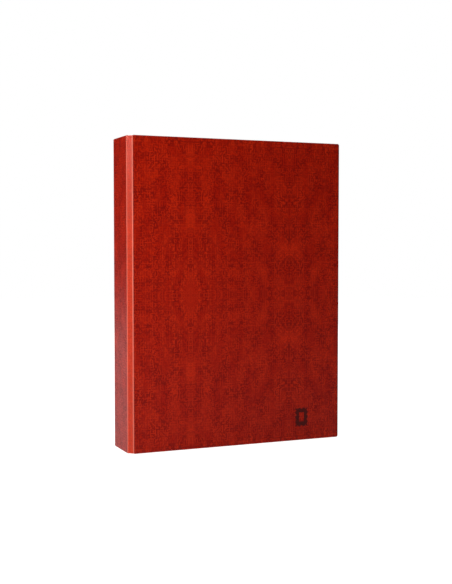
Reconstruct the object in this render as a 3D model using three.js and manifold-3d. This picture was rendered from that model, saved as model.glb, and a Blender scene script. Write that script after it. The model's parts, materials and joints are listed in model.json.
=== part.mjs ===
// A stamp album: a hard case of paper-covered boards that folds at two narrow hinge strips, a
// four-ring mechanism riveted inside the back cover, and stock leaves with clear pockets.
//
// Millimetres, +Z up. The closed album stands on its bottom edges with the spine towards -X, the
// front cover towards -Y and the open fore-edge towards +X. The origin is on the floor, under the
// middle of the album. Inside the file, x is counted from the spine and y from the front cover.
import * as THREE from 'three';
import { mergeVertices } from 'three/addons/utils/BufferGeometryUtils.js';
import Module from 'manifold-3d';

const wasm = await Module();
wasm.setup();

// --- The case -------------------------------------------------------------------------------
const WIDTH = 240; // spine to fore-edge
const DEPTH = 53; // front cover to back cover, over the outside
const HEIGHT = 320;
const BEVEL = 4.75; // how much of each corner a hinge strip cuts off, in x and in y
const COVERING = 0.375; // the red sheet's thickness
const BOARD = 2;
const LINING = 0.25;
const TURN_IN = 14; // covering folded over onto the boards' inside
const LINING_MARGIN = 4; // covering left showing round the lining
const BOARD_SETBACK = 1.5; // crease to the board beside it
const STRIP_INSET = 0.5; // the strips stop short of the boards' hems, above and below
const CREASE_GAP = 0.1;
const FOLD = Math.PI / 4; // the turn at each crease of the closed case
const CORNER = 2; // radius of the covers' corners at the fore-edge
const CORNER_STEPS = 4;
const OVERRUN = 1; // how far a cutting shape runs past what it cuts

const HEM = COVERING + BOARD + COVERING; // thickness where the covering is turned in
const WALL = HEM + LINING;
const STRIP_LENGTH = BEVEL * Math.SQRT2;

// --- The ring mechanism ---------------------------------------------------------------------
const PLATE_X = 31; // spine to the plate's middle
const PLATE_LENGTH = 280;
const PLATE_HALF = 11; // half its width
const PLATE_METAL = 1;
const PLATE_RIM = 2.25; // height of the plate's straight edges
const PLATE_CROWN = 6.25;
const PLATE_CURVE_STEPS = 12;
const CUTOUT = { near: 3, far: 7.5, half: 2.25 }; // where a ring passes through the plate
const BLADE = { near: 0.5, far: 9.75, low: 1, high: 2, endGap: 8, notch: 2.9 };
const RING_Z = [40, 120, 200, 280];
const WIRE = 1.5; // radius
const WIRE_SIDES = 10;
const WIRE_STEPS = { curved: 26, straight: 20 };
const FOOT = 5; // plate's middle to each half ring's foot
const ARC_RADIUS = 13;
const ARC_HEIGHT = 29; // arc's centre above the back cover
const RING_STRAIGHT = 6.5; // height where the curved half leaves the plate
const RING_BULGE = 21; // height where the curved half is upright again
const TIP_GAP = 0.3;
const RIVET_Z = [60, 260];
const RIVET = { shank: 2, head: 4.5, headHeight: 0.6, clinch: 3.25, clinchHeight: 0.75, slope: 1, gap: 0.3 };
const ROUND_SIDES = 16; // of a rivet and of a pin's hole
const LEVER = { rest: Math.PI / 6, pivotHeight: 2, heel: 3, root: 8, flare: 14, length: 13, corner: 3 };
const LEVER_THICK = 1.25;

const BACK_INSIDE = DEPTH - WALL; // y of the back cover's inner face
const ARC_X = PLATE_X + FOOT - ARC_RADIUS;
const ARC_Y = BACK_INSIDE - ARC_HEIGHT;

// --- The leaves -----------------------------------------------------------------------------
const LEAF = { width: 210, height: 297, thick: 0.5, corner: 2 };
const LEAF_COUNT = 12;
const LEAF_PITCH = 1.25;
const FIRST_LEAF_BACK = -3; // back of the first leaf from the arc's centre, in y
const HOLE_INSET = 12; // bound edge to the post
const SLOT = { before: 2.5, after: 7.5, radius: 3 }; // reach each side of the post
const POCKET = { count: 8, pitch: 35, height: 30, weld: 1.5, film: 0.125, side: 5, inner: 23, foot: 8 };

const BOUND_EDGE = ARC_RADIUS - HOLE_INSET; // arc's centre to the leaves' bound edge
const LEAF_BASE = (HEIGHT - LEAF.height) / 2;

// --- Finishes -------------------------------------------------------------------------------
function finish(color, roughness, metalness = 0) {
  return new THREE.MeshStandardMaterial({ color, roughness, metalness });
}
const FINISH = {
  covering: () => finish(0x8e2012, 0.45),
  board: () => finish(0x9c8f7c, 0.95),
  lining: () => finish(0xd8d3c8, 0.85),
  steel: () => finish(0xc4c6c8, 0.3, 1),
  rivet: () => finish(0xb9bbbd, 0.35, 1),
  leaf: () => finish(0x141416, 0.8),
  pocket: () => finish(0xdfe6ea, 0.12),
};

// --- Geometry helpers -----------------------------------------------------------------------
function box([x0, x1], [y0, y1], [z0, z1]) {
  const geometry = new THREE.BoxGeometry(x1 - x0, y1 - y0, z1 - z0);
  return geometry.translate((x0 + x1) / 2, (y0 + y1) / 2, (z0 + z1) / 2);
}

function polygon(corners) {
  return new THREE.Shape(corners.map(([x, y]) => new THREE.Vector2(x, y)));
}

/** A shape drawn in x and y, standing from one height to another. */
function extrudeUp(shape, z0, z1, curveSegments = 8) {
  const options = { depth: z1 - z0, bevelEnabled: false, curveSegments };
  return new THREE.ExtrudeGeometry(shape, options).translate(0, 0, z0);
}

/** A shape drawn in x and z, given thickness in y. */
function extrudeBack(shape, y0, y1, curveSegments = 2) {
  const options = { depth: y1 - y0, bevelEnabled: false, curveSegments };
  return new THREE.ExtrudeGeometry(shape, options).rotateX(Math.PI / 2).translate(0, y1, 0);
}

/** A shape drawn in y and z, drawn out along x. */
function extrudeAcross(shape, x0, x1) {
  const geometry = new THREE.ExtrudeGeometry(shape, { depth: x1 - x0, bevelEnabled: false });
  const [x, y, z] = [[1, 0, 0], [0, 1, 0], [0, 0, 1]].map((axis) => new THREE.Vector3(...axis));
  return geometry.applyMatrix4(new THREE.Matrix4().makeBasis(y, z, x)).translate(x0, 0, 0);
}

/** A round pin along y. */
function pin(radius, x, [y0, y1], z) {
  const geometry = new THREE.CylinderGeometry(radius, radius, y1 - y0, ROUND_SIDES);
  return geometry.translate(x, (y0 + y1) / 2, z);
}

function toSolid(geometry) {
  const bare = geometry.clone();
  bare.deleteAttribute('normal');
  bare.deleteAttribute('uv');
  const merged = mergeVertices(bare, 1e-4);
  return new wasm.Manifold(new wasm.Mesh({
    numProp: 3,
    vertProperties: Float32Array.from(merged.attributes.position.array),
    triVerts: Uint32Array.from(merged.index.array),
  }));
}

function toGeometry(solid) {
  const { vertProperties, triVerts } = solid.getMesh();
  const geometry = new THREE.BufferGeometry();
  geometry.setAttribute('position', new THREE.BufferAttribute(vertProperties, 3));
  geometry.setIndex(new THREE.BufferAttribute(triVerts, 1));
  geometry.computeVertexNormals();
  return geometry;
}

function cut(geometry, ...tools) {
  return toGeometry(tools.reduce((solid, tool) => solid.subtract(toSolid(tool)), toSolid(geometry)));
}

function common(first, second) {
  return toGeometry(toSolid(first).intersect(toSolid(second)));
}

function join(first, second) {
  return toGeometry(toSolid(first).add(toSolid(second)));
}

/** Lifts a path drawn in x and y into space, so that a wire can follow it. */
class FlatCurve extends THREE.Curve {
  constructor(path) {
    super();
    this.path = path;
  }

  getPoint(t) {
    const { x, y } = this.path.getPoint(t);
    return new THREE.Vector3(x, y, 0);
  }
}

function wire(path, steps) {
  const section = new THREE.Shape().absarc(0, 0, WIRE, 0, 2 * Math.PI);
  const options = { steps, curveSegments: WIRE_SIDES / 2, extrudePath: new FlatCurve(path) };
  return new THREE.ExtrudeGeometry(section, options);
}

function mesh(name, geometry, material) {
  const piece = new THREE.Mesh(geometry, material());
  piece.name = name;
  return piece;
}

// --- The case: five panels, each turned by FOLD from the one before ---------------------------
// In a panel, x runs along it round the case, from the back cover's fore-edge to the front
// cover's, and y goes in from its outer face.

/** How far a layer stops short of a crease, so that neighbours meet in a mitre. */
function mitre(depth) {
  return depth * Math.tan(FOLD / 2) + CREASE_GAP / 2;
}

/** One end of the covering's outline, from its inner face out: [distance from the end, depth]. */
function coveringEnd(hemmed) {
  if (hemmed) return [[0, HEM], [0, 0]];
  return [[BOARD_SETBACK, HEM], [BOARD_SETBACK, COVERING], [mitre(COVERING), COVERING], [mitre(0), 0]];
}

/** The span between a panel's ends, less one inset at a hemmed end and another at a crease. */
function span(panel, atHem, atCrease) {
  const start = panel.hemmedStart ? atHem : atCrease;
  const end = panel.hemmedEnd ? atHem : atCrease;
  return [start, panel.length - end];
}

/** A plate lying in a panel, inset from its edges, with round corners at a hemmed end. */
function slab(panel, [x0, x1], [y0, y1], inset) {
  const radius = CORNER - inset;
  const [z0, z1] = [inset, HEIGHT - inset];
  const corners = [
    { x: x0, z: z0, rounded: panel.hemmedStart, centre: [x0 + radius, z0 + radius] },
    { x: x1, z: z0, rounded: panel.hemmedEnd, centre: [x1 - radius, z0 + radius] },
    { x: x1, z: z1, rounded: panel.hemmedEnd, centre: [x1 - radius, z1 - radius] },
    { x: x0, z: z1, rounded: panel.hemmedStart, centre: [x0 + radius, z1 - radius] },
  ];
  const points = corners.flatMap(({ x, z, rounded, centre }, quarter) => {
    if (!rounded) return [[x, z]];
    return Array.from({ length: CORNER_STEPS + 1 }, (_, step) => {
      const angle = (2 + quarter + step / CORNER_STEPS) * Math.PI / 2;
      return [centre[0] + radius * Math.cos(angle), centre[1] + radius * Math.sin(angle)];
    });
  });
  return extrudeBack(polygon(points), y0, y1);
}

function coveringGeometry(panel) {
  const outline = polygon([
    ...coveringEnd(panel.hemmedStart),
    ...coveringEnd(panel.hemmedEnd).map(([x, y]) => [panel.length - x, y]).reverse(),
  ]);
  const room = slab(
    panel,
    span(panel, COVERING, BOARD_SETBACK - OVERRUN),
    [COVERING, COVERING + BOARD],
    COVERING,
  );
  const window = box(
    span(panel, TURN_IN, BOARD_SETBACK - OVERRUN),
    [COVERING + BOARD / 2, HEM + OVERRUN],
    [TURN_IN, HEIGHT - TURN_IN],
  );
  const rounded = slab(panel, [0, panel.length], [-OVERRUN, HEM + OVERRUN], 0);
  return cut(common(extrudeUp(outline, 0, HEIGHT), rounded), room, window);
}

function boardGeometry(panel) {
  return slab(
    panel,
    span(panel, COVERING, BOARD_SETBACK),
    [COVERING, COVERING + BOARD],
    COVERING,
  );
}

/** The lining lies on the turned-in covering near the edges, and on the board between. */
function liningGeometry(panel) {
  const sheet = box(
    span(panel, LINING_MARGIN, BOARD_SETBACK),
    [HEM, WALL],
    [LINING_MARGIN, HEIGHT - LINING_MARGIN],
  );
  const middle = box(
    span(panel, TURN_IN, BOARD_SETBACK),
    [HEM - COVERING, HEM],
    [TURN_IN, HEIGHT - TURN_IN],
  );
  return join(sheet, middle);
}

function boardedPanel(name, panel) {
  const through = [-OVERRUN, WALL + OVERRUN];
  const pins = panel.holes.map(([x, z]) => pin(RIVET.shank + RIVET.gap, x, through, z));
  const pierce = (geometry) => (pins.length ? cut(geometry, ...pins) : geometry);
  return [
    mesh(`${name}_covering`, pierce(coveringGeometry(panel)), FINISH.covering),
    mesh(`${name}_board`, pierce(boardGeometry(panel)), FINISH.board),
    mesh(`${name}_lining`, pierce(liningGeometry(panel)), FINISH.lining),
  ];
}

/** One layer of a hinge strip, mitred at both creases. */
function stripLayer(outer, inner) {
  const outline = polygon([
    [mitre(outer), outer],
    [STRIP_LENGTH - mitre(outer), outer],
    [STRIP_LENGTH - mitre(inner), inner],
    [mitre(inner), inner],
  ]);
  return extrudeUp(outline, STRIP_INSET, HEIGHT - STRIP_INSET);
}

function hingeStrip(name) {
  return [
    mesh(`${name}_covering`, stripLayer(0, COVERING), FINISH.covering),
    mesh(`${name}_lining`, stripLayer(COVERING, COVERING + LINING), FINISH.lining),
  ];
}

function placed(pieces, x, y, turn) {
  const group = new THREE.Group();
  group.add(...pieces);
  group.position.set(x, y, 0);
  group.rotation.z = turn;
  return group;
}

function makeCase() {
  const coverLength = WIDTH - BEVEL;
  const holes = RIVET_Z.map((z) => [WIDTH - PLATE_X, z]);
  const back = { length: coverLength, hemmedStart: true, hemmedEnd: false, holes };
  const spine = { length: DEPTH - 2 * BEVEL, hemmedStart: false, hemmedEnd: false, holes: [] };
  const front = { length: coverLength, hemmedStart: false, hemmedEnd: true, holes: [] };
  return [
    placed(boardedPanel('back', back), WIDTH, DEPTH, -4 * FOLD),
    placed(hingeStrip('back_hinge'), BEVEL, DEPTH, -3 * FOLD),
    placed(boardedPanel('spine', spine), 0, DEPTH - BEVEL, -2 * FOLD),
    placed(hingeStrip('front_hinge'), 0, BEVEL, -FOLD),
    placed(boardedPanel('front', front), BEVEL, 0, 0),
  ];
}

// --- The ring mechanism -----------------------------------------------------------------------
// Drawn with its plate on the floor of its own frame: y is the height above the back cover's
// inner face, and +x points to the spine. Turning it half a turn about z puts it in the album.

/** The arched plate: a straight rim each side, and holes in its top for the rings and rivets. */
function archedPlate() {
  const outer = { half: PLATE_HALF, rim: PLATE_RIM, crown: PLATE_CROWN };
  const inner = { half: PLATE_HALF - PLATE_METAL, rim: PLATE_RIM, crown: PLATE_CROWN - PLATE_METAL };
  const shape = new THREE.Shape();
  shape.moveTo(-outer.half, 0);
  shape.lineTo(-outer.half, outer.rim);
  shape.quadraticCurveTo(0, 2 * outer.crown - outer.rim, outer.half, outer.rim);
  shape.lineTo(outer.half, 0);
  shape.lineTo(inner.half, 0);
  shape.lineTo(inner.half, inner.rim);
  shape.quadraticCurveTo(0, 2 * inner.crown - inner.rim, -inner.half, inner.rim);
  shape.lineTo(-inner.half, 0);
  shape.closePath();

  const low = (HEIGHT - PLATE_LENGTH) / 2;
  const cutouts = RING_Z.flatMap((z) => [-1, 1].map((side) => box(
    side > 0 ? [CUTOUT.near, CUTOUT.far] : [-CUTOUT.far, -CUTOUT.near],
    [PLATE_RIM, PLATE_CROWN + OVERRUN],
    [z - CUTOUT.half, z + CUTOUT.half],
  )));
  const through = [0, PLATE_CROWN + OVERRUN];
  const rivetHoles = RIVET_Z.map((z) => pin(RIVET.shank + RIVET.gap, 0, through, z));
  const plate = extrudeUp(shape, low, low + PLATE_LENGTH, PLATE_CURVE_STEPS);
  return cut(plate, ...cutouts, ...rivetHoles);
}

/** The flat steel blade that carries one side's half rings under the plate. */
function blade(side) {
  const low = (HEIGHT - PLATE_LENGTH) / 2 + BLADE.endGap;
  const across = side > 0 ? [BLADE.near, BLADE.far] : [-BLADE.far, -BLADE.near];
  const notches = RIVET_Z.map((z) => pin(BLADE.notch, 0, [0, PLATE_RIM], z));
  return cut(box(across, [BLADE.low, BLADE.high], [low, HEIGHT - low]), ...notches);
}

/** The half ring on the spine's side: it bulges out from its foot and curls over to the top. */
function curvedHalf() {
  const centre = ARC_RADIUS - FOOT;
  const side = centre + ARC_RADIUS;
  const mid = (RING_STRAIGHT + RING_BULGE) / 2;
  const path = new THREE.Path();
  path.moveTo(FOOT, BLADE.high);
  path.lineTo(FOOT, RING_STRAIGHT);
  path.bezierCurveTo(FOOT, mid, side, mid, side, RING_BULGE);
  path.lineTo(side, ARC_HEIGHT);
  path.absarc(centre, ARC_HEIGHT, ARC_RADIUS, 0, Math.PI / 2 - TIP_GAP / 2 / ARC_RADIUS, false);
  return wire(path, WIRE_STEPS.curved);
}

/** The half ring on the leaves' side: a straight post with a quarter turn over its top. */
function straightHalf() {
  const centre = ARC_RADIUS - FOOT;
  const path = new THREE.Path();
  path.moveTo(-FOOT, BLADE.high);
  path.lineTo(-FOOT, ARC_HEIGHT);
  path.absarc(centre, ARC_HEIGHT, ARC_RADIUS, Math.PI, Math.PI / 2 + TIP_GAP / 2 / ARC_RADIUS, true);
  return wire(path, WIRE_STEPS.straight);
}

/** A rivet through the back cover and the plate, with a flat head outside and a clinched one inside. */
function rivetGeometry() {
  const outside = -WALL - RIVET.headHeight;
  const clinched = PLATE_CROWN + RIVET.gap;
  const profile = [
    [0, outside],
    [RIVET.head - RIVET.slope, outside],
    [RIVET.head, -WALL],
    [RIVET.shank, -WALL],
    [RIVET.shank, clinched],
    [RIVET.clinch, clinched],
    [RIVET.clinch - RIVET.slope, clinched + RIVET.clinchHeight],
    [0, clinched + RIVET.clinchHeight],
  ];
  return new THREE.LatheGeometry(profile.map(([r, y]) => new THREE.Vector2(r, y)), ROUND_SIDES);
}

/** A thumb lever for the plate's upper end: a heel under the arch, and a flared tab outside it. */
function leverGeometry() {
  const { corner } = LEVER;
  const halfThick = LEVER_THICK / 2;
  const outline = new THREE.Shape();
  outline.moveTo(-LEVER.root / 2, 0);
  outline.lineTo(LEVER.root / 2, 0);
  outline.lineTo(LEVER.flare / 2, LEVER.length / 2);
  outline.absarc(LEVER.flare / 2 - corner, LEVER.length - corner, corner, 0, Math.PI / 2, false);
  outline.absarc(corner - LEVER.flare / 2, LEVER.length - corner, corner, Math.PI / 2, Math.PI, false);
  outline.lineTo(-LEVER.flare / 2, LEVER.length / 2);
  outline.closePath();
  const tab = extrudeBack(outline, -halfThick, halfThick).rotateX(-LEVER.rest);
  const heel = box([-LEVER.root / 2, LEVER.root / 2], [-halfThick, halfThick], [-LEVER.heel, halfThick]);
  return join(tab, heel);
}

function makeMechanism() {
  const plateEnd = (HEIGHT + PLATE_LENGTH) / 2;
  const pieces = [
    mesh('ring_plate', archedPlate(), FINISH.steel),
    mesh('ring_blade_spine_side', blade(1), FINISH.steel),
    mesh('ring_blade_leaf_side', blade(-1), FINISH.steel),
  ];
  RING_Z.forEach((z, index) => {
    const curved = mesh(`ring_${index + 1}_curved_half`, curvedHalf(), FINISH.steel);
    const straight = mesh(`ring_${index + 1}_straight_half`, straightHalf(), FINISH.steel);
    curved.position.z = z;
    straight.position.z = z;
    pieces.push(curved, straight);
  });
  RIVET_Z.forEach((z, index) => {
    const rivet = mesh(`rivet_${['lower', 'upper'][index]}`, rivetGeometry(), FINISH.rivet);
    rivet.position.z = z;
    pieces.push(rivet);
  });
  // A lever is alike on both sides, so half a turn about y makes it the other end's.
  const upper = mesh('lever_upper', leverGeometry(), FINISH.steel);
  upper.position.set(0, LEVER.pivotHeight, plateEnd);
  const lower = mesh('lever_lower', leverGeometry(), FINISH.steel);
  lower.position.set(0, LEVER.pivotHeight, HEIGHT - plateEnd);
  lower.rotation.y = Math.PI;
  pieces.push(upper, lower);
  return placed(pieces, PLATE_X, BACK_INSIDE, Math.PI);
}

// --- The leaves -------------------------------------------------------------------------------
// Drawn from the centre of the rings' top arc, which is what a leaf turns about: x runs out to
// the fore-edge, and y back.

/** A card punched with four slots, long enough that the posts can lean when the rings open. */
function leafCard(back) {
  const { width, height, corner } = LEAF;
  const [x0, x1] = [BOUND_EDGE, BOUND_EDGE + width];
  const [z0, z1] = [LEAF_BASE, LEAF_BASE + height];
  const outline = new THREE.Shape();
  outline.absarc(x1 - corner, z0 + corner, corner, -Math.PI / 2, 0, false);
  outline.absarc(x1 - corner, z1 - corner, corner, 0, Math.PI / 2, false);
  outline.absarc(x0 + corner, z1 - corner, corner, Math.PI / 2, Math.PI, false);
  outline.absarc(x0 + corner, z0 + corner, corner, Math.PI, 1.5 * Math.PI, false);
  outline.closePath();
  outline.holes = RING_Z.map((z) => {
    const slot = new THREE.Path();
    slot.absarc(ARC_RADIUS - SLOT.before + SLOT.radius, z, SLOT.radius, Math.PI / 2, 1.5 * Math.PI, false);
    slot.absarc(ARC_RADIUS + SLOT.after - SLOT.radius, z, SLOT.radius, -Math.PI / 2, Math.PI / 2, false);
    slot.closePath();
    return slot;
  });
  return extrudeBack(outline, back - LEAF.thick, back);
}

/** A sheet of clear strips, each welded along its foot and open at its top. */
function pocketSheet(cardFace) {
  const { count, pitch, height, weld, film, side, inner, foot } = POCKET;
  const [back, slit, front] = [cardFace - film, cardFace - 2 * film, cardFace - 3 * film];
  const bottom = LEAF_BASE + foot;
  const corners = [[cardFace, bottom], [back, bottom]];
  for (let index = 0; index < count; index += 1) {
    const z = bottom + foot / 2 + index * pitch;
    corners.push([back, z], [front, z], [front, z + height], [slit, z + height]);
    corners.push([slit, z + weld], [back, z + weld]);
  }
  const top = HEIGHT - bottom;
  corners.push([back, top], [cardFace, top]);
  return extrudeAcross(polygon(corners), BOUND_EDGE + inner, BOUND_EDGE + LEAF.width - side);
}

function makeLeaf(index) {
  const name = `leaf_${String(index + 1).padStart(2, '0')}`;
  const back = FIRST_LEAF_BACK + index * LEAF_PITCH;
  return placed([
    mesh(`${name}_card`, leafCard(back), FINISH.leaf),
    mesh(`${name}_pockets`, pocketSheet(back - LEAF.thick), FINISH.pocket),
  ], ARC_X, ARC_Y, 0);
}

// --- The album ----------------------------------------------------------------------------------
const album = new THREE.Group();
album.add(...makeCase(), makeMechanism());
for (let index = 0; index < LEAF_COUNT; index += 1) album.add(makeLeaf(index));
album.position.set(-WIDTH / 2, -(DEPTH + RIVET.headHeight) / 2, 0);

export default album;
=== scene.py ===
"""The looks of a ring-bound stamp album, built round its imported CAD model. Metres, +Z up."""
import json
import math

import bpy
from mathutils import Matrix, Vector

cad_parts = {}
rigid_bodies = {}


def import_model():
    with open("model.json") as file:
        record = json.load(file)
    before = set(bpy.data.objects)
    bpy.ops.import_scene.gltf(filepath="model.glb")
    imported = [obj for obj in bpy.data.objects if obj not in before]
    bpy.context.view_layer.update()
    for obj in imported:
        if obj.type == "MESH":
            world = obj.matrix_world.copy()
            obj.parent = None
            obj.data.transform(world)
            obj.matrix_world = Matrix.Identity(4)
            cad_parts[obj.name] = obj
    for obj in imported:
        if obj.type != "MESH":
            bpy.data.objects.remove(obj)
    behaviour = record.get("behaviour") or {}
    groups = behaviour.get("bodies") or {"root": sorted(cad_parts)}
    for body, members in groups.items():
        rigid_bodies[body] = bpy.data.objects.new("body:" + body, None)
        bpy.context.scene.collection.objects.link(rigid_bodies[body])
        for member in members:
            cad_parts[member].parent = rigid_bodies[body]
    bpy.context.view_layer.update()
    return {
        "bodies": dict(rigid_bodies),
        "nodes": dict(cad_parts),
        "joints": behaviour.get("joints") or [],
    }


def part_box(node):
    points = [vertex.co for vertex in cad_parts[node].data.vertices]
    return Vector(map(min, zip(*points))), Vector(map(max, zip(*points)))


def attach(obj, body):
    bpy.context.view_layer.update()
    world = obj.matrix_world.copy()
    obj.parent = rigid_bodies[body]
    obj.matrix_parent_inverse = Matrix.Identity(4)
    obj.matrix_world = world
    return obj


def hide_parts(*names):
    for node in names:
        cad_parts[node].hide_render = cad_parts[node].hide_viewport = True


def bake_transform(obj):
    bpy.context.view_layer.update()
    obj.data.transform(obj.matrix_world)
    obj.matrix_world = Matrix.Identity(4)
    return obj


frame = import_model()

MM = 0.001
TURN = math.pi / 4  # each panel of the closed case is turned by this much from the one before

# --- Sizes that the frame gives -----------------------------------------------------------------
PLACE = {joint["name"]: Vector(joint["pos_m"]) for joint in frame["joints"]}
CASE_LOW, CASE_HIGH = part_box("front_covering")
HEIGHT = CASE_HIGH.z
SHEET = 0.375 * MM  # the covering's thickness
SHEET_DRAWN = 0.9 * SHEET  # a little less, so that it stays clear of the boards
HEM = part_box("front_board")[1].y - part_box("front_covering")[0].y + SHEET  # a board covered on both faces
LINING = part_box("front_lining")[1].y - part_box("front_covering")[0].y - HEM  # the lining's thickness
LINING_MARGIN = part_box("front_lining")[0].z
TURN_IN = 14 * MM  # width of the covering turned in over a board's inner face
STRIP_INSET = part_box("front_hinge_covering")[0].z  # the hinge strips are this much shorter at each end
ARC_CENTRE = PLACE["leaf_01_turn"]
RING_NAMES = [f"ring_{number}" for number in range(1, 5)]


# --- Mesh helpers -------------------------------------------------------------------------------
def make_mesh(name, points, faces, uvs=None, smooth=True):
    """An object from points and faces; uvs, if given, holds one pair for each point."""
    data = bpy.data.meshes.new(name)
    data.from_pydata([tuple(p) for p in points], [], faces)
    if uvs:
        layer = data.uv_layers.new(name="Developed")
        for loop in data.loops:
            layer.data[loop.index].uv = uvs[loop.vertex_index]
    data.validate()
    data.polygons.foreach_set("use_smooth", [smooth] * len(data.polygons))
    piece = bpy.data.objects.new(name, data)
    bpy.context.scene.collection.objects.link(piece)
    return piece


def modify(piece, kind, **settings):
    """Adds a modifier and applies it."""
    modifier = piece.modifiers.new(kind.lower(), kind)
    for key, value in settings.items():
        setattr(modifier, key, value)
    with bpy.context.temp_override(object=piece, active_object=piece):
        bpy.ops.object.modifier_apply(modifier=modifier.name)


def crisp(piece, degrees=45):
    """Keeps edges sharper than this from being smoothed over."""
    piece.data.set_sharp_from_angle(angle=math.radians(degrees))


def smoothstep(low, high, value):
    t = min(1.0, max(0.0, (value - low) / (high - low)))
    return t * t * (3 - 2 * t)


# --- The case: five flat panels in a row, from the back cover round to the front ------------------
class Panel:
    """A flat panel seen from above: along runs round the case, inward goes in from its outside."""

    def __init__(self, start, end):
        self.start = Vector((start.x, start.y, 0))
        span = Vector((end.x, end.y, 0)) - self.start
        self.length = span.length
        self.along = span.normalized()
        self.inward = Vector((-self.along.y, self.along.x, 0))

    def point(self, u, depth, z):
        return self.start + self.along * u + self.inward * depth + Vector((0, 0, z))


BACK_EDGE = Vector((CASE_HIGH.x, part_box("back_covering")[1].y, 0))
FRONT_EDGE = Vector((CASE_HIGH.x, CASE_LOW.y, 0))
BACK = Panel(BACK_EDGE, PLACE["back_fold_cover_side"])
BACK_STRIP = Panel(PLACE["back_fold_cover_side"], PLACE["back_fold_spine_side"])
SPINE = Panel(PLACE["back_fold_spine_side"], PLACE["front_fold_spine_side"])
FRONT_STRIP = Panel(PLACE["front_fold_spine_side"], PLACE["front_fold_cover_side"])
FRONT = Panel(PLACE["front_fold_cover_side"], FRONT_EDGE)


class Crease:
    """Two neighbouring panels as one flat strip. Across it, w is 0 on the crease; a layer at some
    depth is bent round a small fillet there."""

    FILLET = 0.6 * MM

    def __init__(self, before, after):
        self.before, self.after = before, after

    def point(self, w, depth, z):
        if abs(w) >= self.FILLET:
            side = self.before if w < 0 else self.after
            return side.point(w + side.length if w < 0 else w, depth, z)
        bisector = (self.before.inward + self.after.inward).normalized()
        corner = self.after.start + bisector * (depth / math.cos(TURN / 2)) + Vector((0, 0, z))
        t = (w / self.FILLET + 1) / 2
        first = self.before.point(self.before.length - self.FILLET, depth, z)
        last = self.after.point(self.FILLET, depth, z)
        return first * (1 - t) ** 2 + corner * (2 * t * (1 - t)) + last * t ** 2


BOARD_GAP = 1.5 * MM  # crease to the board beside it


def board_share(w, boarded_after):
    """How far a point across a crease is onto the board: 0 on the hinge strip, 1 on the board."""
    return smoothstep(0.4 * MM, BOARD_GAP, w if boarded_after else -w)


EDGE_RADIUS = 0.8 * MM
EDGE_STEPS = 5
CORNER_RADIUS = 2 * MM
CORNER_STEPS = 6
HINGE_THICKNESS = 0.85 * MM  # the covering folded double at the strips' ends
HEM_STATIONS = (TURN_IN, 6 * MM, 2 * MM)  # insets at which the flat parts of a hem have points


def hem_profile(thickness):
    """The covering's path round a board's edge: [inset from the edge, depth, developed inset]."""
    radius = min(EDGE_RADIUS, thickness / 2 - 0.01 * MM)
    path = [(inset, 0) for inset in HEM_STATIONS]
    turns = [step / EDGE_STEPS * math.pi / 2 for step in range(EDGE_STEPS + 1)]
    path += [(radius * (1 - math.sin(a)), radius * (1 - math.cos(a))) for a in turns]
    path += [(radius * (1 - math.cos(a)), thickness - radius * (1 - math.sin(a))) for a in turns]
    path += [(inset, thickness) for inset in reversed(HEM_STATIONS)]
    developed, profile = TURN_IN, []
    for index, (inset, depth) in enumerate(path):
        if index:
            developed -= math.dist(path[index - 1], (inset, depth))
        profile.append((inset, depth, developed))
    return profile


def stations_across(near, far):
    """Places across a crease, close together where the sheets bend."""
    one_side = [0.2, 0.4, 0.6, 1, 1.5, 2.2, 4]
    close = [*(-w for w in reversed(one_side)), 0, *one_side]
    return [near, *(w * MM for w in close if near < w * MM < far), far]


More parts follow.
